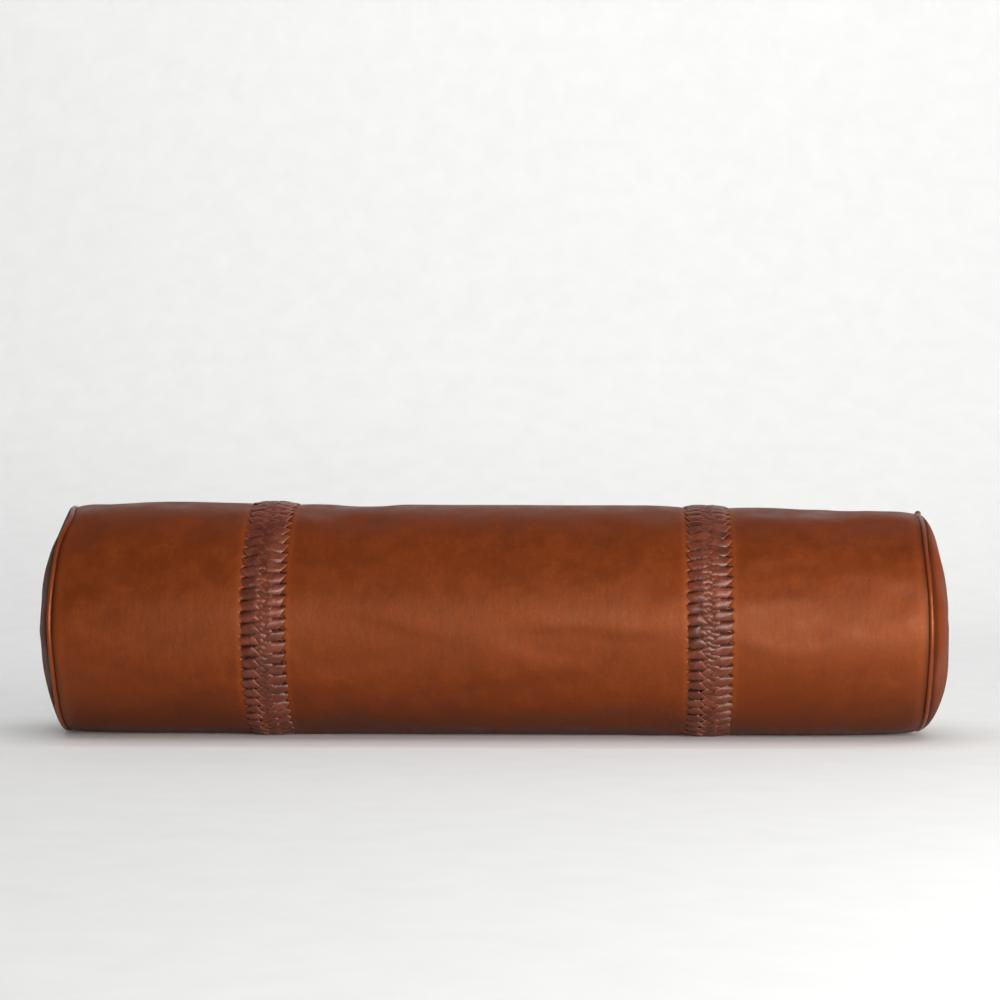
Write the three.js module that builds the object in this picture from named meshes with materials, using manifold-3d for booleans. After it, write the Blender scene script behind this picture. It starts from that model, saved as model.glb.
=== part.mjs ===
// A long leather bolster pillow: a stuffed insert in a fabric case, inside a cover of three leather
// panels, two bulging end caps, piped end seams, two plaited lace bands and a zip at the back.
// Millimetres, +Z up. X runs along the bolster, the zip is at +Y, and Z = 0 is what it lies on.

import * as THREE from "three";
import { mergeVertices } from "three/addons/utils/BufferGeometryUtils.js";
import Module from "manifold-3d";

const wasm = await Module();
wasm.setup();

// Driving dimensions of the cover.
const PANEL_RADIUS = 116;
const LEATHER = 2;
const SEAM_X = 422;
const SEAM_RADIUS = 113.2;
const CAP_BULGE = 35;
const BAND_X = { left: -216, right: 212 };
const BAND_WIDTH = 47;
const BAND_PROUD = 3;
const BAND_EDGE = { run: 3, edgeDrop: 2.6, topDrop: 0.4 };
const BACKING = { overlap: 9, thickness: 1.2 };
const GAP = 0.4;

// Shape of the soft surfaces.
const SEGMENTS = 40;
const HALF_STEP = Math.PI / SEGMENTS;
const FLAT_ANGLE = 3 * HALF_STEP;
const AXIS_HEIGHT = PANEL_RADIUS * Math.cos(FLAT_ANGLE);
const SAG = PANEL_RADIUS - AXIS_HEIGHT;
const SAG_FADE = { from: 70, to: 105 };
const DOME_POWER = 1.6;
const DOME_STEPS = [0, 0.28, 0.55, 0.78, 0.92];
const SHOULDER = { run: 24, mid: 9, midDrop: 0.8 };

// Seam allowances and piping at each end.
const BEAD_RADIUS = 2.5;
const CORD_RADIUS = 1.5;
const BEAD_SIDES = 8;
const WELT_LEAF = 0.8;
const ALLOWANCE_RADIUS = 105;
const ALLOWANCE_X = 1.4;
const TURN_IN_RADIUS = SEAM_RADIUS - BEAD_RADIUS - GAP;
const TURN_IN_BEVEL = 0.8;

// The insert.
const CASE_RADIUS = 110;
const CASE_THICKNESS = 0.8;
const INSERT_EDGE_X = 408;
const INSERT_BULGE = 45;

// The zip, which lies along X at the back, on the axis height.
const ZIP_X = -2;
const SLOT_LENGTH = 330;
const SLOT_WIDTH = 11;
const ZIP_Y = 112.8;
const TAPE = { inner: 0.7, fold: 9, outer: 14.5, thickness: 0.6, overrun: 14 };
const COIL = { inner: 0.6, width: 2.5, height: 1.9, lift: 0.3, length: 312 };
const STOP = { length: 3.5, half: 3.6, bottom: 0.3, top: 2.7 };
const SLIDER = { length: 12, nose: 4.3, heel: 3.7, plate: 0.9, clearance: 0.4 };
const LUG = { half: 3.4, leg: 0.8, opening: 1.4, bar: 0.8, width: 2.4 };
const PULL = { length: 23, half: 3.1, eye: 2.0, reach: 4.6, thickness: 0.9, tail: 0.4 };
const SLIDER_FROM_END = 3;

// Materials.

function material(color, roughness, metalness = 0) {
  return new THREE.MeshStandardMaterial({ color, roughness, metalness });
}

const MATERIALS = {
  leather: material(0x8b4a22, 0.42),
  lace: material(0x6e3f30, 0.5),
  piping: material(0x7d4220, 0.45),
  backing: material(0x6a3d24, 0.8),
  cotton: material(0xe9e4d8, 0.95),
  filling: material(0xf6f5f2, 1),
  cord: material(0xd8d0bf, 0.95),
  tape: material(0x4a2c1c, 0.9),
  coil: material(0x3d2417, 0.5),
  brass: material(0x9a7a44, 0.35, 1),
};

// Solids: joining and cutting.

function toSolid(geometry) {
  const bare = geometry.clone();
  bare.deleteAttribute("normal");
  bare.deleteAttribute("uv");
  const merged = mergeVertices(bare, 1e-3);
  const vertProperties = merged.attributes.position.array;
  const triVerts = new Uint32Array(merged.index.array);
  return new wasm.Manifold(new wasm.Mesh({ numProp: 3, vertProperties, triVerts }));
}

function toGeometry(solid) {
  const mesh = solid.getMesh();
  const geometry = new THREE.BufferGeometry();
  geometry.setAttribute("position", new THREE.BufferAttribute(mesh.vertProperties, 3));
  geometry.setIndex(new THREE.BufferAttribute(mesh.triVerts, 1));
  return geometry;
}

function join(...geometries) {
  return toGeometry(geometries.map(toSolid).reduce((all, one) => all.add(one)));
}

function cut(geometry, tool) {
  return toGeometry(toSolid(geometry).subtract(toSolid(tool)));
}

// Soft surfaces: every ring and dome is turned about the X axis, then rests flat on the ground.

function smoothstep(value, from, to) {
  const t = THREE.MathUtils.clamp((value - from) / (to - from), 0, 1);
  return t * t * (3 - 2 * t);
}

// The lowest a point at this distance from the axis may hang: layers keep their thickness on the flat.
function floorBelowAxis(radius) {
  const lift = SAG * smoothstep(radius, SAG_FADE.from, SAG_FADE.to);
  return -Math.min(radius - lift, AXIS_HEIGHT);
}

// The outline is a list of [x, radius], the outer surface first, towards +X, then back along the inner.
function turned(outline, onAxis = false) {
  const points = outline.map(([x, radius]) => new THREE.Vector2(radius, x));
  if (!onAxis) points.push(points[0].clone());
  const geometry = new THREE.LatheGeometry(points, SEGMENTS, HALF_STEP);
  geometry.rotateZ(-Math.PI / 2);
  const position = geometry.attributes.position;
  for (let i = 0; i < position.count; i++) {
    const radius = Math.hypot(position.getY(i), position.getZ(i));
    position.setZ(i, Math.max(position.getZ(i), floorBelowAxis(radius)));
  }
  return geometry;
}

// An outline drawn for the right-hand end, or its mirror image for the left-hand end.
function sided(outline, side) {
  if (side > 0) return outline;
  return outline.map(([x, radius]) => [-x, radius]).reverse();
}

// Points of a bulging end, from just inside its rim to its middle.
function dome(edgeX, bulge, rimRadius) {
  return [...DOME_STEPS].reverse().map((share) => {
    const x = edgeX + bulge * (1 - share ** 2) ** (1 / DOME_POWER);
    return [x, share * rimRadius];
  });
}

// Bars along X, from an outline of [y, z] points.
function alongX(outline, length, centreX) {
  const shape = new THREE.Shape(outline.map(([y, z]) => new THREE.Vector2(y, z)));
  const geometry = new THREE.ExtrudeGeometry(shape, { depth: length, bevelEnabled: false });
  geometry.applyMatrix4(new THREE.Matrix4().makeBasis(
    new THREE.Vector3(0, 1, 0),
    new THREE.Vector3(0, 0, 1),
    new THREE.Vector3(1, 0, 0),
  ));
  return geometry.translate(centreX - length / 2, 0, 0);
}

// Plates facing outwards at the back, from an outline of [x, z] points.
function plate(outline, yLow, thickness) {
  const shape = new THREE.Shape(outline.map(([x, z]) => new THREE.Vector2(x, z)));
  const geometry = new THREE.ExtrudeGeometry(shape, { depth: thickness, bevelEnabled: false });
  return geometry.rotateX(Math.PI / 2).translate(0, yLow + thickness, 0);
}

function box(x, y, z) {
  const size = [x, y, z].map(([low, high]) => high - low);
  const centre = [x, y, z].map(([low, high]) => (low + high) / 2);
  return new THREE.BoxGeometry(...size).translate(...centre);
}

// The insert.

function insertFilling() {
  const radius = CASE_RADIUS - CASE_THICKNESS - GAP;
  const edge = INSERT_EDGE_X - GAP;
  const bulge = INSERT_BULGE - CASE_THICKNESS - GAP;
  const right = [[edge, radius], ...dome(edge, bulge, radius)];
  return turned([...sided(right, -1), ...right], true);
}

function insertCaseTube() {
  const end = INSERT_EDGE_X - GAP;
  const inner = CASE_RADIUS - CASE_THICKNESS;
  return turned([[-end, CASE_RADIUS], [end, CASE_RADIUS], [end, inner], [-end, inner]]);
}

function insertCaseEnd(side) {
  const inner = CASE_RADIUS - CASE_THICKNESS;
  const inside = dome(INSERT_EDGE_X, INSERT_BULGE - CASE_THICKNESS, inner);
  const outline = [
    ...inside.reverse(),
    [INSERT_EDGE_X, inner],
    [INSERT_EDGE_X, CASE_RADIUS],
    ...dome(INSERT_EDGE_X, INSERT_BULGE, CASE_RADIUS),
  ];
  return turned(sided(outline, side), true);
}

// The leather cover.

// Outline of a side panel, for the right-hand end: it runs from the band to the seam, where the
// leather turns in towards the insert.
function sidePanel(bandEdge, side) {
  const inner = PANEL_RADIUS - LEATHER;
  const corner = SEAM_X - BEAD_RADIUS - GAP;
  const allowance = SEAM_X - ALLOWANCE_X;
  const outline = [
    [bandEdge, PANEL_RADIUS],
    [SEAM_X - SHOULDER.run, PANEL_RADIUS],
    [SEAM_X - SHOULDER.mid, PANEL_RADIUS - SHOULDER.midDrop],
    [corner, SEAM_RADIUS],
    [corner, TURN_IN_RADIUS + TURN_IN_BEVEL],
    [allowance, TURN_IN_RADIUS],
    [allowance, ALLOWANCE_RADIUS],
    [allowance - LEATHER, ALLOWANCE_RADIUS],
    [allowance - LEATHER, TURN_IN_RADIUS],
    [SEAM_X - SHOULDER.mid, inner - SHOULDER.midDrop],
    [SEAM_X - SHOULDER.run, inner],
    [bandEdge, inner],
  ];
  return turned(sided(outline, side));
}

function centrePanel() {
  const reach = BAND_WIDTH / 2 + GAP;
  const low = BAND_X.left + reach;
  const high = BAND_X.right - reach;
  const inner = PANEL_RADIUS - LEATHER;
  const tube = turned([[low, PANEL_RADIUS], [high, PANEL_RADIUS], [high, inner], [low, inner]]);
  const half = SLOT_LENGTH / 2;
  const slot = box(
    [ZIP_X - half, ZIP_X + half],
    [PANEL_RADIUS / 2, PANEL_RADIUS * 2],
    [-SLOT_WIDTH / 2, SLOT_WIDTH / 2],
  );
  return cut(tube, slot);
}

function endCap(side) {
  const corner = SEAM_X + BEAD_RADIUS + GAP;
  const allowance = SEAM_X + ALLOWANCE_X;
  const bulge = CAP_BULGE - BEAD_RADIUS - GAP;
  const inside = dome(corner, bulge - LEATHER, SEAM_RADIUS - LEATHER);
  const outline = [
    ...inside.reverse(),
    [allowance + LEATHER, TURN_IN_RADIUS - LEATHER],
    [allowance + LEATHER, ALLOWANCE_RADIUS],
    [allowance, ALLOWANCE_RADIUS],
    [allowance, TURN_IN_RADIUS],
    [corner, TURN_IN_RADIUS + TURN_IN_BEVEL],
    [corner, SEAM_RADIUS],
    ...dome(corner, bulge, SEAM_RADIUS),
  ];
  return turned(sided(outline, side), true);
}

// Piping: a strip folded round a cord, open along its inner edge, where its two leaves are sewn in.

function arc(radius, fromAngle, toAngle, steps) {
  const points = [];
  for (let i = 0; i <= steps; i++) {
    const angle = fromAngle + ((toAngle - fromAngle) * i) / steps;
    points.push([radius * Math.sin(angle), SEAM_RADIUS + radius * Math.cos(angle)]);
  }
  return points;
}

function pipingCover(side) {
  const slit = 0.15;
  const hollow = BEAD_RADIUS - WELT_LEAF;
  const outerTurn = Math.PI - Math.asin((slit + WELT_LEAF) / BEAD_RADIUS);
  const innerTurn = Math.PI - Math.asin(slit / hollow);
  const section = [
    ...arc(BEAD_RADIUS, -outerTurn, outerTurn, BEAD_SIDES),
    [slit + WELT_LEAF, ALLOWANCE_RADIUS],
    [slit, ALLOWANCE_RADIUS],
    ...arc(hollow, innerTurn, -innerTurn, BEAD_SIDES),
    [-slit, ALLOWANCE_RADIUS],
    [-slit - WELT_LEAF, ALLOWANCE_RADIUS],
  ];
  return turned(section).translate(side * SEAM_X, 0, 0);
}

function pipingCord(side) {
  const full = 2 * Math.PI;
  const section = arc(CORD_RADIUS, 0, full, BEAD_SIDES).slice(0, -1);
  return turned(section).translate(side * SEAM_X, 0, 0);
}

// Plaited bands: the envelope of the laces, and the strip behind them.

function braid(centreX) {
  const half = BAND_WIDTH / 2;
  const top = PANEL_RADIUS + BAND_PROUD;
  const inner = PANEL_RADIUS - LEATHER;
  const { run, edgeDrop, topDrop } = BAND_EDGE;
  const outline = [
    [-half, inner],
    [-half, top - edgeDrop],
    [-half + run, top - topDrop],
    [0, top],
    [half - run, top - topDrop],
    [half, top - edgeDrop],
    [half, inner],
  ];
  return turned(outline).translate(centreX, 0, 0);
}

function braidBacking(centreX) {
  const half = BAND_WIDTH / 2 + BACKING.overlap;
  const top = PANEL_RADIUS - LEATHER - GAP;
  const inner = top - BACKING.thickness;
  return turned([[-half, top], [half, top], [half, inner], [-half, inner]]).translate(centreX, 0, 0);
}

// The zip.

// A tape lies flat behind the slot, then follows the panel; side is +1 above the coils, -1 below.
function zipperTape(side) {
  const { inner, fold, outer, thickness, overrun } = TAPE;
  const drop = (outer - fold) * Math.tan(2 * HALF_STEP);
  const outline = [
    [ZIP_Y - thickness, inner],
    [ZIP_Y, inner],
    [ZIP_Y, fold],
    [ZIP_Y - drop, outer],
    [ZIP_Y - drop - thickness, outer],
    [ZIP_Y - thickness, fold],
  ];
  return alongX(mirroredZ(outline, side), SLOT_LENGTH + 2 * overrun, ZIP_X);
}

function mirroredZ(outline, side) {
  if (side > 0) return outline;
  return outline.map(([y, z]) => [y, -z]).reverse();
}

function zipperCoil(side) {
  const low = ZIP_Y + COIL.lift;
  const high = low + COIL.height;
  const near = COIL.inner;
  const far = COIL.inner + COIL.width;
  const round = 0.6;
  const outline = [
    [low, near],
    [high - round, near],
    [high, near + round],
    [high, far - round],
    [high - round, far],
    [low, far],
  ];
  return alongX(mirroredZ(outline, side), COIL.length, ZIP_X);
}

function zipperStop(side) {
  const centre = ZIP_X + side * (COIL.length / 2 + GAP + STOP.length / 2);
  const half = STOP.length / 2;
  return box(
    [centre - half, centre + half],
    [ZIP_Y + STOP.bottom, ZIP_Y + STOP.top],
    [-STOP.half, STOP.half],
  );
}

const SLIDER_X = ZIP_X + COIL.length / 2 - SLIDER_FROM_END - SLIDER.length / 2;
const TOP_PLATE_Y = ZIP_Y + COIL.lift + COIL.height + SLIDER.clearance;
const BOTTOM_PLATE_Y = ZIP_Y - TAPE.thickness - SLIDER.clearance - SLIDER.plate;
const LUG_Y = TOP_PLATE_Y + SLIDER.plate;
const PIN_Y = LUG_Y + LUG.opening / 2;

// Two plates joined by a thin web between the coils, with side rims and the lug that holds the pull.
function zipperSlider() {
  const half = SLIDER.length / 2;
  const outline = [
    [-half, -SLIDER.heel],
    [half - 3, -SLIDER.nose],
    [half, -SLIDER.nose + 1],
    [half, SLIDER.nose - 1],
    [half - 3, SLIDER.nose],
    [-half, SLIDER.heel],
  ];
  const top = plate(outline, TOP_PLATE_Y, SLIDER.plate);
  const bottom = plate(outline, BOTTOM_PLATE_Y, SLIDER.plate);
  const web = box([-1, 4], [BOTTOM_PLATE_Y + 0.1, TOP_PLATE_Y + 0.1], [-0.3, 0.3]);
  return join(top, bottom, web, lug()).translate(SLIDER_X, 0, 0);
}

function lug() {
  const { half, leg, opening, bar, width } = LUG;
  const high = LUG_Y + opening;
  const z = [-width / 2, width / 2];
  const legs = [-1, 1].map((side) => {
    const x = [side * half, side * (half - leg)].sort((a, b) => a - b);
    return box(x, [LUG_Y - 0.1, high + 0.1], z);
  });
  return join(...legs, box([-half, half], [high, high + bar], z));
}

// The pull lies flat towards -X: two arms astride the lug, with a pin under it, and a round-ended tab.
function zipperPull() {
  const { length, half, eye, reach, thickness, tail } = PULL;
  const low = PIN_Y - thickness / 2;
  const shape = new THREE.Shape();
  shape.moveTo(tail, -half);
  shape.lineTo(tail, half);
  shape.lineTo(-length + half, half);
  shape.absarc(-length + half, 0, half, Math.PI / 2, (3 * Math.PI) / 2, false);
  shape.lineTo(tail, -half);
  const outline = shape.getPoints(6).map((point) => [point.x, point.y]);
  const tab = plate(outline, low, thickness);
  const opening = box([-reach, tail + 1], [low - 1, low + thickness + 1], [-eye, eye]);
  const pin = box([-tail, tail], [PIN_Y - tail, PIN_Y + tail], [-eye - 0.2, eye + 0.2]);
  return join(cut(tab, opening), pin).translate(SLIDER_X, 0, 0);
}

// Assembly.

const bolster = new THREE.Group();
bolster.position.z = AXIS_HEIGHT;

function add(name, geometry, finish) {
  const mesh = new THREE.Mesh(geometry, MATERIALS[finish].clone());
  mesh.name = name;
  bolster.add(mesh);
}

const bandEdge = BAND_WIDTH / 2 + GAP;

add("insert_filling", insertFilling(), "filling");
add("insert_case_tube", insertCaseTube(), "cotton");
add("centre_panel", centrePanel(), "leather");
add("left_panel", sidePanel(-(BAND_X.left - bandEdge), -1), "leather");
add("right_panel", sidePanel(BAND_X.right + bandEdge, 1), "leather");

for (const [name, side] of [["left", -1], ["right", 1]]) {
  add(`insert_case_${name}_end`, insertCaseEnd(side), "cotton");
  add(`${name}_end_cap`, endCap(side), "leather");
  add(`${name}_piping_cover`, pipingCover(side), "piping");
  add(`${name}_piping_cord`, pipingCord(side), "cord");
  add(`${name}_braid`, braid(BAND_X[name]), "lace");
  add(`${name}_braid_backing`, braidBacking(BAND_X[name]), "backing");
}

for (const [name, side] of [["upper", 1], ["lower", -1]]) {
  add(`zipper_tape_${name}`, zipperTape(side), "tape");
  add(`zipper_coil_${name}`, zipperCoil(side), "coil");
}

add("zipper_stop_open", zipperStop(-1), "brass");
add("zipper_stop_closed", zipperStop(1), "brass");
add("zipper_slider", zipperSlider(), "brass");
add("zipper_pull", zipperPull(), "brass");

export default bolster;
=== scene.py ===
"""The looks of the leather bolster pillow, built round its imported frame: the cover's panels and
bulging ends, the piping, the plaited laces, the zip and the insert, with the studio round them.
Metres, in the frame's own axes: X along the bolster, -Y its front, +Z up, Z = 0 what it lies on."""

import math

import bpy
import numpy as np
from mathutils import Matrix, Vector


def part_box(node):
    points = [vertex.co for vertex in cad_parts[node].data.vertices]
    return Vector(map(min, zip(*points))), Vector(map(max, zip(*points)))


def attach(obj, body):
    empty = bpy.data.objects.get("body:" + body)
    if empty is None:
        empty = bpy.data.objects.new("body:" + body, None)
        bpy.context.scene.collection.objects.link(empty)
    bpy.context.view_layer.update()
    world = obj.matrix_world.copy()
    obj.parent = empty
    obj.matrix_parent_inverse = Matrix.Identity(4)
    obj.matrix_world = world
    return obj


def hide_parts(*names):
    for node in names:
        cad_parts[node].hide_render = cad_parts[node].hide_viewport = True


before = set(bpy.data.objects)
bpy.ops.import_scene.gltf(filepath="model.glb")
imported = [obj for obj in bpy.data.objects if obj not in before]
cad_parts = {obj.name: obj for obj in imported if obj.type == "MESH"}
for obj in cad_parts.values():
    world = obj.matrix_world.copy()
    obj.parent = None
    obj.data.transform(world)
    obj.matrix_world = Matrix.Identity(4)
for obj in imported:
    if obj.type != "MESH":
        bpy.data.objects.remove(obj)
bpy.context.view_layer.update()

MM = 0.001
TURN = 2 * math.pi
BODY = "bolster"

# ------------ sizes taken from the frame

SIDES = {"left": -1, "right": 1}


def middle_x(node):
    low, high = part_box(node)
    return (low.x + high.x) / 2


def half_x(node):
    low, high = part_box(node)
    return (high.x - low.x) / 2


_, centre_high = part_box("centre_panel")
# The frame's round pieces have 40 flats, and their box is measured to the flats.
FACET = math.cos(math.pi / 40)
RADIUS = centre_high.y / FACET
AXIS_Z = centre_high.z - centre_high.y

SEAM = {side: middle_x(f"{side}_piping_cover") for side in SIDES}
BEAD = half_x("left_piping_cover")
TIP = {"left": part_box("left_end_cap")[0].x, "right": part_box("right_end_cap")[1].x}
BAND = {side: middle_x(f"{side}_braid") for side in SIDES}
BAND_HALF = half_x("left_braid")

LEATHER = 2 * MM
# Slits in each panel margin, and mesh steps round the bolster from one slit to the next.
ROWS = 65
ROW_STEPS = 8
AROUND = ROWS * ROW_STEPS
ROW_ANGLE = TURN / ROWS
BACK = math.pi
# Over what width the underside rounds off to the ground, and how far the leather is pressed there.
GROUND_EASE = 1.5 * MM
PRESSED = 0.3 * MM

# ------------ small maths


def smoothstep(value, low, high):
    t = np.clip((value - low) / (high - low), 0, 1)
    return t * t * (3 - 2 * t)


def soft_max(a, b, width):
    """The larger of two values, rounded off over the given width where they meet."""
    return (a + b + np.sqrt((a - b) ** 2 + width**2)) / 2


RIPPLE_PEAK = 1.6


def ripples(along, angle, seed, count, length, most_turns):
    """A smooth random field from about -1 to 1: waves of at least the given length along the bolster,
    which close round it."""
    rng = np.random.default_rng(seed)
    total = 0
    for _ in range(count):
        turns = rng.integers(0, most_turns + 1)
        rate = rng.uniform(-1, 1) * TURN / length
        phase = rng.uniform(0, TURN)
        total = total + np.sin(rate * along + turns * angle + phase)
    return total / math.sqrt(count) / RIPPLE_PEAK


# ------------ the stuffed form

# How much fatter or thinner than the frame the stuffing makes the bolster, along its length.
GIRTH_X = np.array([-0.430, -0.380, -0.300, -0.216, -0.150, 0.0, 0.150, 0.212, 0.300, 0.380, 0.430])
GIRTH = np.array([0.4, 0.4, 0.6, 0.4, -0.6, -1.3, -1.2, -1.7, -3.0, -4.3, -5.0]) * MM
AXIS_RISE_X = np.array([0.340, 0.385, 0.415, 0.430])
AXIS_RISE = np.array([0, 1.2, 3.0, 4.0]) * MM
# How far the panels fall to the end seams: steeply, over the first length, and gently, over the second.
SHOULDER_DEEP = {"left": 3.4 * MM, "right": 2.8 * MM}
SHOULDER_WIDE = {"left": 2.4 * MM, "right": 1.6 * MM}
SHOULDER_RUN, SHOULDER_LONG_RUN = 8 * MM, 45 * MM
BAND_DIP, BAND_DIP_RUN = 0.5 * MM, 10 * MM
BEAD_INSET = {"left": 5.6 * MM, "right": 5.4 * MM}
# Where each end seam wanders out of its plane: angle, how far outwards, and over what width of angle.
SEAM_BOWS = {
    "left": ((1.13, -7.0 * MM, 0.30), (-1.5, 3.5 * MM, 0.5), (0.0, 0.8 * MM, 0.6)),
    "right": ((0.75, -2.0 * MM, 0.35), (0.0, 0.8 * MM, 0.5)),
}
# Waves of the panels' face: height, seed, how many, the shortest along the bolster, most round it.
WAVES = ((0.7 * MM, 11, 7, 0.30, 3), (0.25 * MM, 12, 9, 0.11, 7))
# Shallow dents in the stuffing: x, angle, the widths along and round, and the depth.
DENTS = (
    (0.36, 0.26, 0.09, 0.20, 0.6 * MM),
    (-0.33, 0.62, 0.05, 0.30, 0.9 * MM),
    (0.06, -0.35, 0.10, 0.25, 0.7 * MM),
)
# The ends' bulge: its share of the frame's, how far it sags, and how square its profile is.
CAP_FULL = {"left": 0.83, "right": 0.80}
CAP_SAG = 0.14
CAP_POWER = {"left": 1.1, "right": 1.6}
CAP_FOLD, CAP_DENT = 0.9 * MM, 1.0 * MM
# The seam that closes each panel at the back, which starts where the zip's surround ends.
BACK_SEAM_WIDE, BACK_SEAM_DEEP = 1.3 * MM, 1.3 * MM
BACK_SEAM_START = (0.176, 0.180)
# Angle from the back, and distance along X, over which the leather leaves the zip's flat surround.
ZIP_CALM_ANGLE = (0.16, 0.5)
ZIP_CALM_X = (0.176, 0.2)
# The simulated push on each part of the cover: where its rings are, and the push there.
SWELL = {}


def girth(x):
    return np.interp(x, GIRTH_X, GIRTH)


def axis_height(x):
    return AXIS_Z + girth(x) + np.interp(x, AXIS_RISE_X, AXIS_RISE)


def turned(angle, start):
    """The angle from start, the shorter way round."""
    return np.angle(np.exp(1j * (angle - start)))


def zip_calm(x, angle):
    """0 at the zip, where the cover lies just as the frame has it, and 1 away from it."""
    near = smoothstep(np.abs(turned(angle, BACK)), *ZIP_CALM_ANGLE)
    return np.maximum(near, smoothstep(np.abs(x), *ZIP_CALM_X))


def place(x, angle, radius, depth=0.0):
    """Points at that angle round the axis, from 0 at the front up over the top: the underside rests
    flat, and layers keep their depth below the leather there."""
    z = axis_height(x) + radius * np.sin(angle)
    z = soft_max(z, depth, GROUND_EASE) - PRESSED * (1 - smoothstep(z, 0, 0.03))
    y = -radius * np.cos(angle)
    return np.stack(np.broadcast_arrays(x, y, np.maximum(z, depth * 0.5)), axis=-1)


def spline_weights(t):
    """The shares of four neighbours in a cubic B-spline, t of the way from the second to the third."""
    second = (3 * t**3 - 6 * t**2 + 4) / 6
    third = (1 + 3 * t + 3 * t**2 - 3 * t**3) / 6
    return ((1 - t) ** 3 / 6, second, third, t**3 / 6)


def sample_rings(rows_at, field, row, angle):
    """Read a field known on rings of points at the given rows, smoothly, anywhere between them."""
    rings, count = field.shape
    row, angle = np.broadcast_arrays(row, angle)
    u = np.interp(row, rows_at, np.arange(rings))
    v = (angle / TURN * count) % count
    i, j = np.floor(u).astype(int), np.floor(v).astype(int)
    total = 0
    for a, row_weight in enumerate(spline_weights(u - i)):
        for b, turn_weight in enumerate(spline_weights(v - j)):
            near = field[np.clip(i + a - 1, 0, rings - 1), (j + b - 1) % count]
            total = total + row_weight * turn_weight * near
    return total


def swell(part, row, angle):
    """How far the simulated stuffing pushes that part of the cover out."""
    if part not in SWELL:
        return 0 * (row + angle)
    return sample_rings(*SWELL[part], row, angle)


def back_seam(x, angle):
    """1 along the seam that closes each panel into a tube, at the back, outside the zip."""
    from_seam = np.abs(turned(angle, BACK)) * RADIUS
    return np.exp(-((from_seam / BACK_SEAM_WIDE) ** 2)) * smoothstep(np.abs(x), *BACK_SEAM_START)


def panel_radius(x, angle):
    """The radius of the leather's outer face on the long panels."""
    radius = RADIUS + girth(x) * zip_calm(x, angle)
    waves = sum(tall * ripples(x, angle, *shape) for tall, *shape in WAVES)
    radius = radius + (waves + swell("tube", x, angle)) * zip_calm(x, angle)
    radius = radius - BACK_SEAM_DEEP * back_seam(x, angle)
    for dent_x, dent_angle, length, width, deep in DENTS:
        away = ((x - dent_x) / length) ** 2 + (turned(angle, dent_angle) / width) ** 2
        radius = radius - deep * np.exp(-away)
    for side, sign in SIDES.items():
        from_seam = np.maximum((SEAM[side] - x) * sign, 0)
        puckers = 0.7 * MM * ripples(0 * x, angle, 21 + sign, 6, 1, 19)
        deep = SHOULDER_DEEP[side] + puckers
        radius = radius - deep * np.exp(-from_seam / SHOULDER_RUN)
        radius = radius - SHOULDER_WIDE[side] * np.exp(-((from_seam / SHOULDER_LONG_RUN) ** 2))
    for side in SIDES:
        from_band = np.maximum(np.abs(x - BAND[side]) - BAND_HALF, 0)
        radius = radius - BAND_DIP * np.exp(-from_band / BAND_DIP_RUN) * zip_calm(x, angle)
    return radius


def seam_radius(side, angle):
    """The radius of the middle of the piping's cord."""
    wander = 0.5 * MM * ripples(0 * angle, angle, 31 + SIDES[side], 5, 1, 9)
    return RADIUS + girth(SEAM[side]) - BEAD_INSET[side] + wander


def seam_shift(side, angle):
    """How far along X the seam has been pushed off its plane by the stuffing."""
    bow = sum(push * np.exp(-((turned(angle, at) / width) ** 2)) for at, push, width in SEAM_BOWS[side])
    return SIDES[side] * bow + 0.8 * MM * ripples(0 * angle, angle, 41 + SIDES[side], 5, 1, 7)


def seam_x(side, angle):
    return SEAM[side] + seam_shift(side, angle)


def cap_points(side, share, angle, depth=0.0):
    """The bulging end: share runs from 0 at its middle to 1 at its rim."""
    sign = SIDES[side]
    rim = seam_radius(side, angle) + 0.9 * MM
    bulge = (abs(TIP[side] - SEAM[side]) - BEAD) * CAP_FULL[side]
    bulge = bulge * (1 - CAP_SAG * share * np.sin(angle))
    height = bulge * (1 - np.clip(share, 0, 1) ** 2) ** (1 / CAP_POWER[side])
    folds = ripples(0.2 * share, angle, 51 + sign, 9, 1, 13) * smoothstep(share, 0.25, 0.9)
    folds = folds * (1 - 0.7 * smoothstep(share, 0.93, 1.0))
    dents = ripples(share, angle, 61 + sign, 6, 0.8, 3) * (1 - smoothstep(share, 0.8, 1))
    calm = smoothstep(share, 0.05, 0.5)
    height = height + CAP_FOLD * folds + (CAP_DENT * dents + swell(side, share, angle)) * calm
    x = SEAM[side] + seam_shift(side, angle) * share**4 + sign * (BEAD * 0.8 + height - depth)
    radius = share * (rim - depth * smoothstep(share, 0.5, 1))
    z = axis_height(SEAM[side]) + radius * np.sin(angle)
    floor = depth + 1.2 * MM * smoothstep(height, 0, 0.02)
    z = soft_max(z, floor, GROUND_EASE)
    return np.stack(np.broadcast_arrays(x, -radius * np.cos(angle), z), axis=-1)


# ------------ stuffing the cover

FORM_AROUND = 120
FORM_STEP = 6 * MM
FRAMES = 20
STUFFING_PRESSURE = 4.0
# How much larger the leather is than the form, as a share, and the most it may move.
SLACK = 0.008
SWELL_LIMIT = 1.1 * MM


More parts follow.
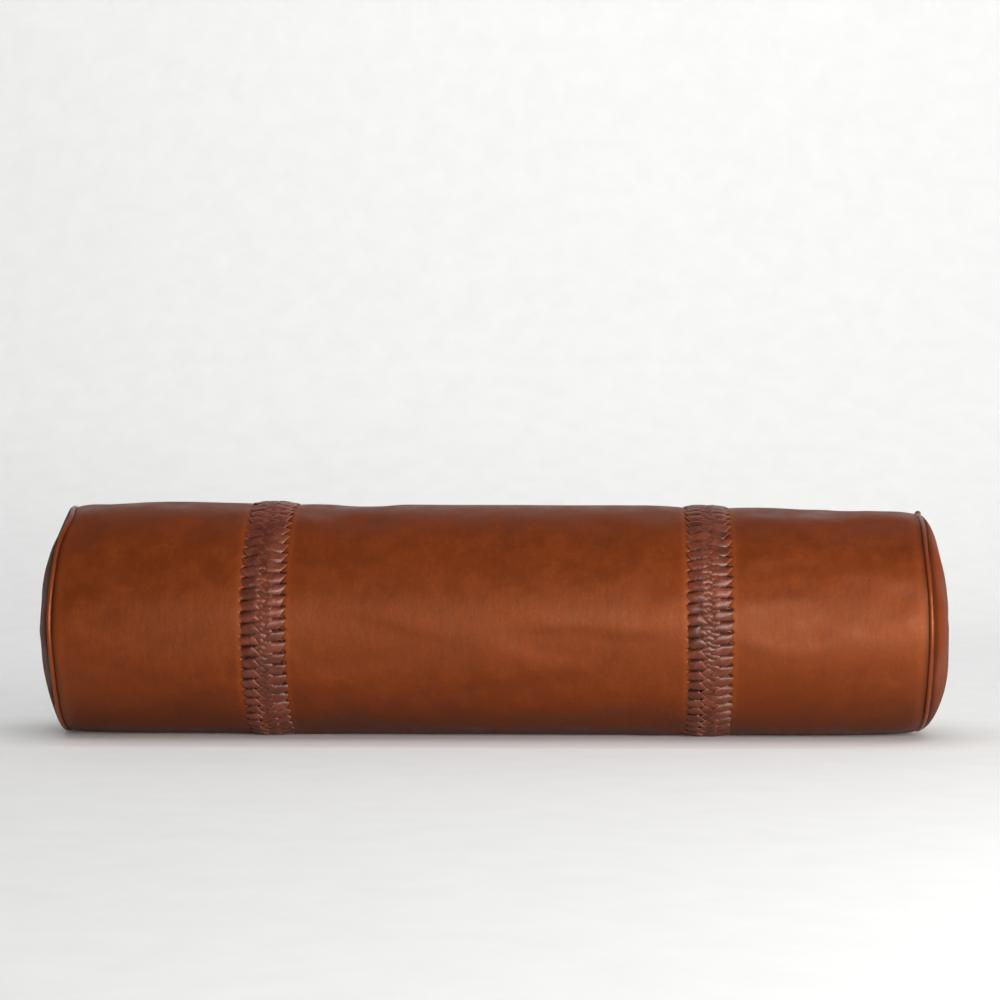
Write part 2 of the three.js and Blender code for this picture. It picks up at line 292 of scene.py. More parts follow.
def cover_form():
    """The closed cover as rings of points, and which of them the seams, bands and zip hold."""
    angle = around(FORM_AROUND)
    xs = np.arange(SEAM["left"], SEAM["right"] + FORM_STEP / 2, FORM_STEP)
    shares = np.linspace(0.06, 0.95, 13)
    left = [cap_points("left", share, angle) for share in shares]
    tube = [place(x, angle, panel_radius(x, angle)) for x in xs]
    right = [cap_points("right", share, angle) for share in shares[::-1]]
    in_band = np.minimum(np.abs(xs - BAND["left"]), np.abs(xs - BAND["right"])) < BAND_HALF
    at_seam = (xs < xs[0] + FORM_STEP) | (xs > xs[-1] - FORM_STEP)
    held = np.tile((in_band | at_seam)[:, None], FORM_AROUND) | (zip_calm(xs[:, None], angle) < 0.3)
    free = np.zeros((len(shares), FORM_AROUND), bool)
    return np.array([*left, *tube, *right]), np.concatenate([free, held, free]), xs, shares


def stuff_cover():
    """Blow the slack cover up as cloth, and keep how far each part of it moved."""
    rings, held, xs, shares = cover_form()
    rows = len(rings)
    faces = grid_faces(rows, FORM_AROUND, wrap_rows=False)
    faces += [face[::-1] for face in end_faces(rows, FORM_AROUND)]
    form = new_object("cover_form", rings, faces)
    pins = form.vertex_groups.new(name="held")
    pins.add(np.flatnonzero(held.ravel()).tolist(), 1.0, "REPLACE")
    cloth = form.modifiers.new("stuffing", "CLOTH").settings
    cloth.quality = 5
    cloth.mass = 0.5
    cloth.tension_stiffness = cloth.compression_stiffness = 30
    cloth.shear_stiffness = 12
    cloth.bending_stiffness = 1.5
    cloth.use_pressure = True
    cloth.uniform_pressure_force = STUFFING_PRESSURE
    cloth.effector_weights.gravity = 0
    cloth.shrink_min = -SLACK
    cloth.vertex_group_mass = "held"
    scene = bpy.context.scene
    for frame_number in range(1, FRAMES + 1):
        scene.frame_set(frame_number)
    posed = form.evaluated_get(bpy.context.evaluated_depsgraph_get())
    moved = np.array([vertex.co for vertex in posed.data.vertices]).reshape(rings.shape) - rings
    scene.frame_set(1)
    bpy.data.objects.remove(form)
    angle = around(FORM_AROUND)
    outward = moved[..., 2] * np.sin(angle) - moved[..., 1] * np.cos(angle)
    caps, tube = len(shares), slice(len(shares), len(shares) + len(xs))
    SWELL["tube"] = (xs, eased(outward[tube] - outward[tube].mean(axis=1, keepdims=True)))
    SWELL["left"] = (shares, eased(-moved[:caps, :, 0] + moved[:caps, :, 0].mean()))
    SWELL["right"] = (shares, eased((moved[-caps:, :, 0] - moved[-caps:, :, 0].mean())[::-1]))


def eased(movement):
    """Movement softened over its neighbours, with its largest values held back to the limit."""
    for _ in range(2):
        movement = (np.roll(movement, 1, axis=1) + 2 * movement + np.roll(movement, -1, axis=1)) / 4
        edged = np.pad(movement, ((1, 1), (0, 0)), mode="edge")
        movement = (edged[:-2] + 2 * movement + edged[2:]) / 4
    return SWELL_LIMIT * np.tanh(movement / (1.6 * SWELL_LIMIT))


# ------------ making meshes


def new_object(name, points, faces, smooth_angle=50, layers=None):
    """A mesh object from an array of points and lists of faces, with float layers for its material."""
    mesh = bpy.data.meshes.new(name)
    mesh.from_pydata(np.asarray(points).reshape(-1, 3).tolist(), [], faces)
    for layer, values in (layers or {}).items():
        attribute = mesh.attributes.new(layer, "FLOAT", "POINT")
        attribute.data.foreach_set("value", np.asarray(values, np.float32).ravel())
    mesh.polygons.foreach_set("use_smooth", [True] * len(mesh.polygons))
    mesh.set_sharp_from_angle(angle=math.radians(smooth_angle))
    made = bpy.data.objects.new(name, mesh)
    bpy.context.scene.collection.objects.link(made)
    return made


def grid_faces(rows, columns, wrap_rows=True, wrap_columns=True, start=0):
    """Quads over a grid of points stored row after row, facing out for a row running anticlockwise."""
    last_row = rows if wrap_rows else rows - 1
    last_column = columns if wrap_columns else columns - 1
    i, j = np.meshgrid(np.arange(last_row), np.arange(last_column), indexing="ij")
    ni, nj = (i + 1) % rows, (j + 1) % columns
    quads = np.stack([i * columns + j, i * columns + nj, ni * columns + nj, ni * columns + j], axis=-1)
    return (quads.reshape(-1, 4) + start).tolist()


def end_faces(rows, columns, start=0):
    """The two faces that close a tube of that many rows at its ends."""
    first = [start + k for k in range(columns)]
    last = [start + (rows - 1) * columns + k for k in range(columns)]
    return [first[::-1], last]


def tip_fans(total, columns):
    """Triangles from the first and last of the rings to the two tips, stored after their points."""
    fans = []
    for j in range(columns):
        after = (j + 1) % columns
        fans.append([j, total, after])
        fans.append([total - columns + j, total - columns + after, total + 1])
    return fans


def finish_piece(piece, material, replaces=()):
    """Give a new piece its material and its place on the bolster's body."""
    piece.data.materials.clear()
    piece.data.materials.append(material)
    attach(piece, BODY)
    if replaces:
        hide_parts(*replaces)


def around(steps=AROUND):
    return np.arange(steps) * TURN / steps


# ------------ materials


class Shader:
    """A node material under construction: each method adds one step and returns its output socket."""

    def __init__(self, name):
        self.material = bpy.data.materials.new(name)
        self.material.use_nodes = True
        self.tree = self.material.node_tree
        self.surface = self.tree.nodes["Principled BSDF"]

    def node(self, kind, inputs=None, **settings):
        made = self.tree.nodes.new(kind)
        for key, value in settings.items():
            setattr(made, key, value)
        for key, value in (inputs or {}).items():
            self.feed(made.inputs[key], value)
        return made

    def feed(self, socket, value):
        if isinstance(value, bpy.types.NodeSocket):
            self.tree.links.new(value, socket)
        else:
            socket.default_value = value

    def coordinates(self, scale=(1, 1, 1)):
        """Object coordinates in millimetres, stretched by scale."""
        place = self.node("ShaderNodeTexCoord").outputs["Object"]
        factor = tuple(1000 * s for s in scale)
        return self.node("ShaderNodeMapping", {"Vector": place, "Scale": factor}).outputs["Vector"]

    def layer(self, name):
        return self.node("ShaderNodeAttribute", attribute_name=name).outputs["Fac"]

    def noise(self, where, scale, detail=3, rough=0.55):
        inputs = {"Vector": where, "Scale": scale, "Detail": detail, "Roughness": rough}
        return self.node("ShaderNodeTexNoise", inputs).outputs["Fac"]

    def cells(self, where, scale):
        return self.node("ShaderNodeTexVoronoi", {"Vector": where, "Scale": scale}).outputs["Distance"]

    def maths(self, operation, a, b):
        return self.node("ShaderNodeMath", {0: a, 1: b}, operation=operation).outputs[0]

    def remap(self, value, low, high, to_low, to_high):
        inputs = {"Value": value, "From Min": low, "From Max": high}
        inputs |= {"To Min": to_low, "To Max": to_high}
        return self.node("ShaderNodeMapRange", inputs).outputs["Result"]

    def mix(self, factor, a, b):
        made = self.node("ShaderNodeMix", data_type="RGBA")
        for socket, value in ((made.inputs[0], factor), (made.inputs[6], a), (made.inputs[7], b)):
            self.feed(socket, value)
        return made.outputs[2]

    def bump(self, height, distance, strength=1.0, below=None):
        inputs = {"Height": height, "Distance": distance, "Strength": strength}
        if below is not None:
            inputs["Normal"] = below
        return self.node("ShaderNodeBump", inputs).outputs["Normal"]

    def finish(self, **values):
        for key, value in values.items():
            self.feed(self.surface.inputs[key.replace("_", " ")], value)
        return self.material


def colour(red, green, blue):
    """A colour given as it looks on a screen, from 0 to 255, as linear light."""
    linear = [((c / 255 + 0.055) / 1.055) ** 2.4 for c in (red, green, blue)]
    return (*linear, 1.0)


DEEP_SHADE = colour(20, 8, 5)
WARM_GLOSS = (1.0, 0.38, 0.20)


def leather(name, tones, grain=1.0, rough=(0.47, 0.60), shine=0.72, gloss=WARM_GLOSS):
    """Smooth hide: faintly cloudy dye, hairline creases running round the bolster, pores, a paler tone
    for wear at the lips and for painted light, and painted shade.
    """
    dark, base, light, wear_and_painted_light = (colour(*tone) for tone in tones)
    s = Shader(name)
    where = s.coordinates()
    cloud = s.noise(where, 0.010, 3, 0.5)
    patch = s.noise(where, 0.045, 5, 0.62)
    mottle = s.noise(where, 0.22, 4, 0.6)
    creases = s.noise(s.coordinates((1.0, 0.22, 0.22)), 0.55, 5, 0.68)
    wrinkles = s.noise(s.coordinates((1.0, 0.3, 0.3)), 0.10, 4, 0.6)
    pores = s.cells(where, 1.05)
    fleck = s.noise(where, 0.8, 4, 0.7)
    tone = s.mix(s.remap(cloud, 0.38, 0.62, 0, 1), dark, base)
    tone = s.mix(s.remap(patch, 0.40, 0.70, 0, 1.0), tone, light)
    tone = s.mix(s.remap(mottle, 0.42, 0.68, 0, 0.6), tone, dark)
    tone = s.mix(s.remap(creases, 0.50, 0.78, 0, 0.20), tone, dark)
    tone = s.mix(s.remap(fleck, 0.58, 0.80, 0, 0.22), tone, dark)
    # A paler tone for wear, which over the right end is painted light; then painted shade from the shade
    # layer.
    tone = s.mix(s.layer("wear_and_painted_light"), tone, wear_and_painted_light)
    tone = s.mix(s.layer("shade"), tone, DEEP_SHADE)
    roughness = s.remap(patch, 0.35, 0.65, rough[0], rough[1])
    normal = s.bump(wrinkles, 1.2 * MM * grain, 0.35)
    normal = s.bump(mottle, 0.5 * MM * grain, 0.3, normal)
    normal = s.bump(pores, 0.05 * MM * grain, 0.5, normal)
    normal = s.bump(creases, 0.09 * MM * grain, 0.35, normal)
    normal = s.bump(fleck, 0.16 * MM * grain, 0.5, normal)
    s.surface.inputs["Specular IOR Level"].default_value = shine
    s.surface.inputs["Specular Tint"].default_value = (*gloss, 1.0)
    return s.finish(Base_Color=tone, Roughness=roughness, Normal=normal)


def woven(name, warp, weft, scale=1.6, rough=0.85):
    """A plain weave: two crossed ribs, a thread's width apart, with slubs."""
    s = Shader(name)
    where = s.coordinates()
    threads = {"Vector": where, "Scale": scale}
    waves = [s.node("ShaderNodeTexWave", threads, bands_direction=way) for way in "XZ"]
    ribs = s.maths("MULTIPLY", *(wave.outputs["Fac"] for wave in waves))
    slubs = s.noise(where, 0.4, 4)
    tone = s.mix(ribs, warp, weft)
    tone = s.mix(s.remap(slubs, 0.45, 0.75, 0, 0.35), tone, warp)
    return s.finish(Base_Color=tone, Roughness=rough, Normal=s.bump(ribs, 0.25 * MM, 0.7))


def aged_brass():
    s = Shader("aged brass")
    where = s.coordinates()
    tarnish = s.noise(where, 0.6, 5, 0.65)
    scratches = s.noise(s.coordinates((0.3, 3, 3)), 1.4, 4)
    tone = s.mix(s.remap(tarnish, 0.4, 0.7, 0, 1), colour(176, 142, 84), colour(112, 84, 46))
    roughness = s.remap(scratches, 0.3, 0.7, 0.24, 0.42)
    normal = s.bump(scratches, 0.02 * MM, 0.4)
    return s.finish(Base_Color=tone, Metallic=1.0, Roughness=roughness, Normal=normal)


def nylon():
    s = Shader("zip nylon")
    fleck = s.noise(s.coordinates(), 1.2, 3)
    tone = s.mix(s.remap(fleck, 0.4, 0.7, 0, 1), colour(52, 32, 21), colour(74, 47, 31))
    return s.finish(Base_Color=tone, Roughness=0.38, Normal=s.bump(fleck, 0.03 * MM, 0.3))


# Each leather's four tones: darkest dye, plain dye, lightest dye, and a paler tone for wear and painted
# light.
MATERIALS = {
    "leather": leather("leather", ((80, 30, 3), (89, 34, 4), (98, 39, 6), (138, 62, 18))),
    "cap": leather(
        "cap leather", ((84, 30, 3), (94, 35, 4), (104, 41, 6), (150, 66, 16)),
        rough=(0.58, 0.70), shine=0.28,
    ),
    "lace": leather(
        "lace leather", ((70, 27, 15), (96, 41, 24), (116, 56, 36), (178, 118, 92)),
        grain=1.8, rough=(0.30, 0.42), shine=0.5, gloss=(1.0, 0.74, 0.66),
    ),
    "piping": leather(
        "piping leather", ((72, 28, 9), (84, 34, 11), (96, 41, 15), (140, 66, 30)),
        rough=(0.30, 0.40), shine=0.8,
    ),
    "backing": leather(
        "split leather", ((84, 50, 32), (104, 64, 42), (122, 80, 55), (130, 86, 60)),
        grain=2.5, rough=(0.8, 0.92), shine=0.2, gloss=(1, 1, 1),
    ),
    "cotton": woven("cotton", colour(214, 207, 190), colour(236, 231, 218), 0.9),
    "thread": woven("thread", colour(150, 98, 56), colour(196, 142, 92), 3.0, 0.6),
    "cord": woven("cotton cord", colour(196, 184, 156), colour(224, 214, 190), 0.7),
    "tape": woven("zip tape", colour(50, 30, 20), colour(78, 50, 34), 1.1),
    "nylon": nylon(),
    "brass": aged_brass(),
}

# ------------ leather panels

MARGIN = 12.5 * MM
TAB_SINK = 1.6 * MM
SLIT_DEPTH = 2.4 * MM
# The lean of the slits: rows that their line has risen by, at the margin's inner end.
SLIT_LEAN = {"low": 0.22, "high": 0.02}
# How far round the bolster a lace moves while it crosses the band from its low edge.
OUT_STEPS = 19
OUT_ROWS = OUT_STEPS / ROW_STEPS
# The most shade on the leather: under the bolster, in its back seam, and beside the end seams.
UNDER_SHADE = 0.45
BACK_SEAM_SHADE = 0.6
SEAM_SHADE, SEAM_SHADE_RUN = 0.9, 5.6 * MM
INNER_SHADE = 0.5
# Worn leather beside the end seams and where the panels bend down to the bands.
SEAM_WEAR, BAND_WEAR = 0.16, 0.22


def margin_side(x):
    """For each x, its distance into a band from the nearer edge, and whether that is the low edge."""
    from_left, from_right = x - BAND["left"], x - BAND["right"]
    across = np.where(np.abs(from_left) < np.abs(from_right), from_left, from_right)
    return BAND_HALF - np.abs(across), across < 0


def slit_rise(x):
    """How many rows the slits' line has risen at that x."""
    inward, low = margin_side(x)
    share = np.clip(inward / MARGIN, 0, 1)
    return np.where(low, SLIT_LEAN["low"], SLIT_LEAN["high"]) * share


def margin_sink(x, step):
    """How far the leather lies below its plain face at the margins, and how deep in shade it is."""
    inward, low = margin_side(x)
    first_slit = np.where(low, 0, -OUT_STEPS % ROW_STEPS)
    from_slit = np.abs((step - first_slit + ROW_STEPS / 2) % ROW_STEPS - ROW_STEPS / 2)
    at_margin = smoothstep(inward, 0.9 * MM, 2.2 * MM)
    groove = np.where(from_slit == 0, 1.0, np.where(from_slit == 1, 0.10, 0.0)) * at_margin
    sink = TAB_SINK * smoothstep(inward, 1 * MM, 11 * MM) + SLIT_DEPTH * groove
    shade = np.maximum(0.95 * (groove > 0.5), 0.7 * smoothstep(inward, 9 * MM, 12 * MM))
    angle = step * TURN / AROUND
    shade = np.maximum(shade, BACK_SEAM_SHADE * back_seam(x, angle))
    underneath = smoothstep(-np.sin(angle), 0.5, 0.97)
    return sink, np.maximum(shade, UNDER_SHADE * underneath)


def column_xs(low, high, step, fine_low, fine_high, fine_step=1.4 * MM):
    """Stations along X from low to high, closer together over the first and last lengths given."""
    near = np.arange(0, fine_low, fine_step) + low
    far = high - np.arange(0, fine_high, fine_step)[::-1]
    count = max(2, round((far[0] - near[-1]) / step))
    middle = np.linspace(near[-1], far[0], count + 1)[1:-1]
    return np.concatenate([near, middle, far])


def panel_points(xs, depth):
    x, step = np.meshgrid(xs, np.arange(AROUND), indexing="ij")
    angle = step * TURN / AROUND + slit_rise(x) * ROW_ANGLE
    sink, shade = margin_sink(x, step)
    radius = panel_radius(x, angle) - sink - depth
    shifted = x
    for side in SIDES:
        shifted = shifted + seam_shift(side, angle) * np.exp(-np.abs(x - SEAM[side]) / 0.03)
    return place(shifted, angle, radius, depth + sink * 0.4), shade


def seam_end(side):
    """The closing stations of a side panel: the leather turns in beside the piping."""
    sign = SIDES[side]
    angle = around()
    corner = SEAM[side] - sign * (BEAD + 0.1 * MM)
    mid = seam_radius(side, angle)
    start = panel_radius(corner, angle)
    rings = []
    for share, inset in ((0.35, 0.15), (0.75, 0.5), (1.0, 1.0)):
        radius = start + (mid - 1.6 * MM - start) * inset
        x = corner + seam_shift(side, angle) + sign * (0.5 * MM) * share
        rings.append(place(x, angle, radius, start - radius))
    return rings


def side_panel(side):
    sign = SIDES[side]
    band_end = BAND[side] + sign * (BAND_HALF - MARGIN)
    seam_side = SEAM[side] - sign * (BEAD + 0.6 * MM)
    low, high = sorted((band_end, seam_side))
    fine = (26 * MM, 30 * MM)
    xs = column_xs(low, high, 6 * MM, *(fine if sign > 0 else fine[::-1]))
    if sign < 0:
        xs = xs[::-1]
    outer, shade = panel_points(xs, 0.0)
    near_seam = np.abs(xs - SEAM[side])
    shade = np.maximum(shade, SEAM_SHADE * np.exp(-((near_seam / SEAM_SHADE_RUN) ** 2))[:, None])
    turned_in = seam_end(side)
    inner, _ = panel_points(xs[::-1], LEATHER)
    rings = [*outer, *turned_in, *inner]
    shades = [*shade, *[np.full(AROUND, SEAM_SHADE)] * len(turned_in)]
    shades += [np.full(AROUND, INNER_SHADE)] * len(inner)
    faces = grid_faces(len(rings), AROUND)
    if sign > 0:
        faces = [face[::-1] for face in faces]
    layers = {"shade": shades, "wear_and_painted_light": panel_wear(np.asarray(rings)[..., 0])}
    piece = new_object(f"{side}_panel_leather", rings, faces, layers=layers)
    finish_piece(piece, MATERIALS["leather"], replaces=[f"{side}_panel"])
    return piece


def panel_wear(x):
    """How worn the leather is: most by the piping, and where the panels bend down to the bands."""
    wear = 0 * x
    for side in SIDES:
        from_seam = np.abs(x - SEAM[side])
        from_band = np.abs(np.abs(x - BAND[side]) - BAND_HALF)
        wear = np.maximum(wear, SEAM_WEAR * np.exp(-(((from_seam - 8 * MM) / (5 * MM)) ** 2)))
        wear = np.maximum(wear, BAND_WEAR * np.exp(-((from_band / (3 * MM)) ** 2)))
    return wear


def centre_panel():
    """The middle tube, with the zip's slot left open at the back and its edges folded in."""
    low = BAND["left"] + BAND_HALF - MARGIN
    high = BAND["right"] - BAND_HALF + MARGIN
    slot_low, slot_high = SLOT_X
    xs = column_xs(low, high, 6 * MM, 26 * MM, 26 * MM)
    xs[np.abs(xs - slot_low).argmin()] = slot_low
    xs[np.abs(xs - slot_high).argmin()] = slot_high
    outer, shade = panel_points(xs, 0.0)
    inner, _ = panel_points(xs, LEATHER)
    count = len(xs)
    points = np.concatenate([outer, inner])
    shades = np.concatenate([shade, np.full(shade.shape, INNER_SHADE)])
    first, last = (int(np.abs(xs - x).argmin()) for x in SLOT_X)
    back = AROUND // 2
    bottom, top = back - SLOT_STEPS, back + SLOT_STEPS

    def index(i, j, layer):
        return (i + layer * count) * AROUND + j % AROUND

    def edge_round(i, j, here, there):
        return [index(i, j, here), index(i, j, there), index(i, j + 1, there), index(i, j + 1, here)]

    def edge_along(i, j, here, there):
        return [index(i, j, here), index(i + 1, j, here), index(i + 1, j, there), index(i, j, there)]

    faces = []
    for i in range(count - 1):
        for j in range(AROUND):
            if first <= i < last and bottom <= j < top:
                continue
            quad = [index(i, j, 0), index(i + 1, j, 0), index(i + 1, j + 1, 0), index(i, j + 1, 0)]
            faces.append(quad)
            faces.append([k + count * AROUND for k in quad[::-1]])
    for j in range(AROUND):
        faces += [edge_round(0, j, 1, 0), edge_round(count - 1, j, 0, 1)]
    for i in range(first, last):
        faces += [edge_along(i, bottom, 0, 1), edge_along(i, top, 1, 0)]
    for j in range(bottom, top):
        faces += [edge_round(first, j, 0, 1), edge_round(last, j, 1, 0)]
    layers = {"shade": shades, "wear_and_painted_light": panel_wear(points[..., 0])}
    piece = new_object("centre_panel_leather", points, [face[::-1] for face in faces], layers=layers)
    finish_piece(piece, MATERIALS["leather"], replaces=["centre_panel"])
    return piece


# ------------ ends and piping

CAP_RINGS = 44
CAP_AROUND = 252
# Painted shade (the left end) and painted light as a paler tone (the right end) over the whole of each
# end, and the most painted shade low down on both.
CAP_SHADE = {"left": 0.35, "right": 0.0}
CAP_PAINTED_LIGHT = {"left": 0.0, "right": 0.15}
CAP_LOW_SHADE = 0.5


def end_cap(side):
    """A bulging end, with its rim turned in behind the piping."""
    sign = SIDES[side]
    angle = around(CAP_AROUND)
    shares = 1 - np.linspace(0, 1, CAP_RINGS) ** 1.35
    shares = shares[:-1]
    outer = [cap_points(side, np.full(CAP_AROUND, share), angle) for share in shares]
    inner_shares = (1.0, 0.9, 0.6, 0.3)
    inner = [cap_points(side, np.full(CAP_AROUND, share), angle, LEATHER) for share in inner_shares]
    mid = seam_radius(side, angle)
    tuck_x = seam_x(side, angle) + sign * (BEAD - 0.4 * MM)
    tuck = place(tuck_x, angle, mid - 1.6 * MM, 3 * MM)
    rings = [*inner[::-1], tuck, *outer]
    centre_in = cap_points(side, np.zeros(1), np.zeros(1), LEATHER)
    centre_out = cap_points(side, np.zeros(1), np.zeros(1))
    points = np.concatenate([np.asarray(rings).reshape(-1, 3), centre_in, centre_out])
    faces = grid_faces(len(rings), CAP_AROUND, wrap_rows=False)
    faces += tip_fans(len(rings) * CAP_AROUND, CAP_AROUND)
    if sign < 0:
        faces = [face[::-1] for face in faces]
    shade = [np.full(CAP_AROUND, 0.6)] * (len(inner) + 1)
    shade += [np.full(CAP_AROUND, 0.7 * math.exp(-(((1 - share) / 0.03) ** 2))) for share in shares]
    ring_shares = np.array([*inner_shares[::-1], 1.0, *shares])
    below = -np.sin(angle) * ring_shares[:, None]
    shade = np.maximum(shade, CAP_LOW_SHADE * smoothstep(below, 0.35, 0.95))
    shades = np.concatenate([shade.ravel(), [INNER_SHADE, 0.0]])
    # The paler tone over the whole right end is painted light.
    wear_and_painted_light = np.full(len(points), CAP_PAINTED_LIGHT[side])
    layers = {"shade": np.maximum(shades, CAP_SHADE[side]), "wear_and_painted_light": wear_and_painted_light}
    piece = new_object(f"{side}_end_cap_leather", points, faces, layers=layers)
    finish_piece(piece, MATERIALS["cap"], replaces=[f"{side}_end_cap"])
    return piece


def ring_tube(name, centre_x, centre_radius, thickness, angle, twist=None):
    """A tube round the bolster: its section stands across the axis, and lobes follow the twist."""
    sides = 12
    section = around(sides)
    turn, about = np.meshgrid(angle, section, indexing="ij")
    local = thickness
    if twist is not None:
        lobes, turns = twist
        local = thickness * (1 + 0.16 * np.cos(lobes * (about - turns * turn)))
    x = centre_x[:, None] + local * np.cos(about)
    radius = centre_radius[:, None] + local * np.sin(about)
    top = centre_radius[:, None] + BEAD
    points = place(x, turn, radius, np.maximum(top - radius, 0) + 0.3 * MM)
    faces = [face[::-1] for face in grid_faces(len(angle), sides)]
    layers = {"shade": 0 * x, "wear_and_painted_light": 0.3 * np.clip(np.sin(about), 0, 1) ** 3 * np.ones(x.shape)}
    return new_object(name, points, faces, 80, layers)


# Where the piping's ends lap over each other, and how far that knuckle stands up.
JOIN_ANGLE = {"left": 2.7, "right": 1.53}
KNUCKLE_WIDE, KNUCKLE_RISE = 0.035, 1.8 * MM
CORD_SHARE = 0.55


def piping(side):
    """A cord in a leather strip, whose ends lap over each other in a small knuckle."""
    angle = around()
    creases = 1 + 0.05 * ripples(0 * angle, angle, 71, 8, 1, 60)
    centre_x, mid = seam_x(side, angle), seam_radius(side, angle)
    knuckle = np.exp(-(((angle - JOIN_ANGLE[side]) / KNUCKLE_WIDE) ** 2))
    mid = mid + KNUCKLE_RISE * knuckle
    thickness = BEAD * creases * (1 + 0.3 * knuckle)
    cover = ring_tube(f"{side}_piping_leather", centre_x, mid, thickness[:, None], angle)
    finish_piece(cover, MATERIALS["piping"], replaces=[f"{side}_piping_cover"])
    cord_name = f"{side}_piping_twisted_cord"
    cord = ring_tube(cord_name, centre_x, mid, BEAD * CORD_SHARE, angle, twist=(3, 60))
    finish_piece(cord, MATERIALS["cord"], replaces=[f"{side}_piping_cord"])


# ------------ plaited bands

STRANDS = 5
# Rows that a lace leans on beyond the place where it goes in.
TURN_BACK = 0.4
LACE_WIDTH = 12.6 * MM
LACE_NARROW = 0.72
LACE_THICKNESS = 1.25 * MM
LACE_SWING = 15.8 * MM
LACE_STEPS = 46
LACE_LEAN = 0.10
ROW_ARC = RADIUS * ROW_ANGLE
# Heights of a lace above the panels' face along one crossing of the band: out of its slit, over one
# lace, under one, over one, under one, and in beneath the margin at the other edge.
CROSSING_SHARE = [-0.1, 0.0, 0.045, 0.11, 0.25, 0.32, 0.365, 0.43, 0.50, 0.586, 0.66, 0.74, 0.9, 1.0]
CROSSING_HEIGHT = np.array(
    [-2.7, -2.4, 0.4, 1.1, 1.3, 0.9, -0.5, -0.7, 0.7, 1.4, 0.8, -0.6, -2.0, -2.7]
) * MM
# A lace on its way in goes under the margin, and so is low from here outwards.
TUCK_X = (8.5 * MM, 11.5 * MM)
TUCK_HEIGHT = -2.7 * MM
LACE_SECTION = np.array([
    (-1.0, -0.2), (-0.93, -0.45), (0.0, -0.5), (0.93, -0.45), (1.0, -0.2),
    (1.0, 0.12), (0.92, 0.36), (0.5, 0.60), (0.0, 0.68), (-0.5, 0.60), (-0.92, 0.36), (-1.0, 0.12),
])


def crossing_x(share):
    return -LACE_SWING * (0.55 * np.cos(math.pi * share) + 0.45 * (1 - 2 * share))


def plait_middle(offset):
    """Height added to the plait towards the middle of the band."""
    return 0.15 * MM + 0.55 * MM * (1 - smoothstep(np.abs(offset), 8 * MM, 20 * MM))


def wander(share, rng):
    """A slow random drift along a length of lace."""
    phases = rng.uniform(size=3)
    rates = (0.6, 1.3, 2.4)
    return sum(0.6 * np.sin(TURN * (rate * share + phase)) for rate, phase in zip(rates, phases))


def lace_leg(side, first_row, outward, rng):
    """One crossing of the band by a flat lace, from its slit to where it is hidden under the margin."""
    span = (OUT_ROWS if outward else STRANDS - OUT_ROWS) + TURN_BACK
    heading = 1 if outward else -1
    share = np.linspace(-0.03, 1.0, LACE_STEPS)[:, None]
    offset = heading * crossing_x(share) + 0.5 * MM * wander(share, rng)
    run_x = np.gradient(offset[:, 0])[:, None]
    run_rows = np.gradient(share[:, 0])[:, None] * span * ROW_ARC
    length = np.hypot(run_x, run_rows)
    q, t = LACE_SECTION[:, 0], LACE_SECTION[:, 1]
    narrow = 1 - (1 - LACE_NARROW) * (1 - smoothstep(np.abs(offset), 2 * MM, 12 * MM))
    across = q * LACE_WIDTH / 2 * narrow * (1 + 0.05 * wander(share, rng))
    x = offset + run_rows / length * across
    shift = -run_x / length * across / ROW_ARC
    centre_x = BAND[side] + x
    local = share + (shift + slit_rise(centre_x)) / span
    height = np.interp(local, CROSSING_SHARE, CROSSING_HEIGHT) + 0.2 * MM * wander(share, rng)
    tucked = smoothstep(np.abs(x), *TUCK_X) * (share > 0.5)
    height = height + (np.minimum(height, TUCK_HEIGHT) - height) * tucked
    lean = heading * LACE_LEAN + 0.08 * wander(share, rng)
    lift = height + plait_middle(x) + t * LACE_THICKNESS + across * lean
    angle = -(first_row + share * span + shift) * ROW_ANGLE
    near = np.clip(centre_x, BAND[side] - BAND_HALF, BAND[side] + BAND_HALF)
    points = place(centre_x, angle, panel_radius(near, angle) + lift, (3.4 * MM - lift) * 0.35)
    wear_and_painted_light = 0.5 * smoothstep(np.abs(q), 0.9, 1.0) + 0 * share
    # Painted shade where the lace runs low, under its neighbours, with a random darker tone for each
    # crossing.
    shade = np.maximum(0.9 * smoothstep(-height, -0.8 * MM, 0.6 * MM), rng.uniform(0, 0.3))
    return points, wear_and_painted_light, shade


def lace(side, strand):
    """One of the plait's laces, once round the bolster: a closed strip for each of its crossings."""
    rng = np.random.default_rng(100 * (SIDES[side] + 2) + strand)
    count = len(LACE_SECTION)
    legs, faces = [], []
    for first_row in range(strand, ROWS, STRANDS):
        for outward in (True, False):
            start = len(legs) * LACE_STEPS * count
            row = first_row if outward else first_row + OUT_ROWS
            legs.append(lace_leg(side, row, outward, rng))
            faces += grid_faces(LACE_STEPS, count, wrap_rows=False, start=start)
            faces += end_faces(LACE_STEPS, count, start)
    points, wear_and_painted_light, shade = (np.concatenate([leg[k] for leg in legs]) for k in range(3))
    piece = new_object(f"{side}_lace_{strand + 1}", points, faces, 65, {"wear_and_painted_light": wear_and_painted_light, "shade": shade})
    finish_piece(piece, MATERIALS["lace"], replaces=[f"{side}_braid"])


BACKING_DEPTHS = (3.4 * MM, 4.4 * MM)


